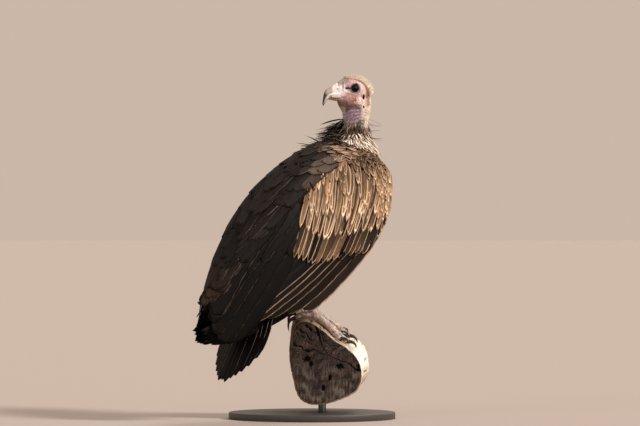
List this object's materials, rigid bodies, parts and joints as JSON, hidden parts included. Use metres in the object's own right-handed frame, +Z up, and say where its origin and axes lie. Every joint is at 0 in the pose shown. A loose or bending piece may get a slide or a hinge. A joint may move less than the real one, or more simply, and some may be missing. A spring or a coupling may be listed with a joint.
{
  "type": "perched hooded vulture model",
  "caption": "Life-size hooded vulture perched on a cut branch with wings folded and its head turned back over one shoulder, held on a round display stand.",
  "frame": {"origin": "centre of the underside of the round stand base, on the floor", "axes": "+Z up; the bird's body faces -Y, its tail points to +Y and its left side is +X; the head is turned back over the left shoulder towards +Y"},
  "size_m": [0.3, 0.4164, 0.6188],
  "materials": {
    "plumage": "soft overlapping feathers, dark brown with paler fringes",
    "wing_feathers": "brown coverts with buff edges over black-brown flight feathers",
    "flight_feathers": "black-brown vanes, faint sheen",
    "bare_skin": "wrinkled pink and lilac skin with short cream down on the crown and nape",
    "bill_horn": "smooth pale horn with a dark hooked tip",
    "eye": "wet dark brown, almost black",
    "leg_skin": "grey-white scales",
    "claw_horn": "dark worn horn",
    "dead_wood": "dry weathered bark with a dark cracked sawn end",
    "stand_board": "satin black paint on a round board",
    "stand_steel": "plain brushed steel rods"
  },
  "bodies": {
    "root": {"trunk": "plumage", "neck_ruff": "plumage", "right_thigh": "plumage", "left_thigh": "plumage", "right_wing": "wing_feathers", "left_wing": "wing_feathers", "right_primaries": "flight_feathers", "left_primaries": "flight_feathers", "tail": "flight_feathers", "head": "bare_skin", "neck": "bare_skin", "upper_bill": "bill_horn", "lower_bill": "bill_horn", "right_eye": "eye", "left_eye": "eye", "right_tarsus": "leg_skin", "left_tarsus": "leg_skin", "right_foot": "leg_skin", "left_foot": "leg_skin", "right_claw_inner": "claw_horn", "right_claw_middle": "claw_horn", "right_claw_outer": "claw_horn", "right_claw_hind": "claw_horn", "left_claw_inner": "claw_horn", "left_claw_middle": "claw_horn", "left_claw_outer": "claw_horn", "left_claw_hind": "claw_horn", "perch_branch": "dead_wood", "stand_base": "stand_board", "stand_rod_a": "stand_steel", "stand_rod_b": "stand_steel"}
  },
  "joints": []
}
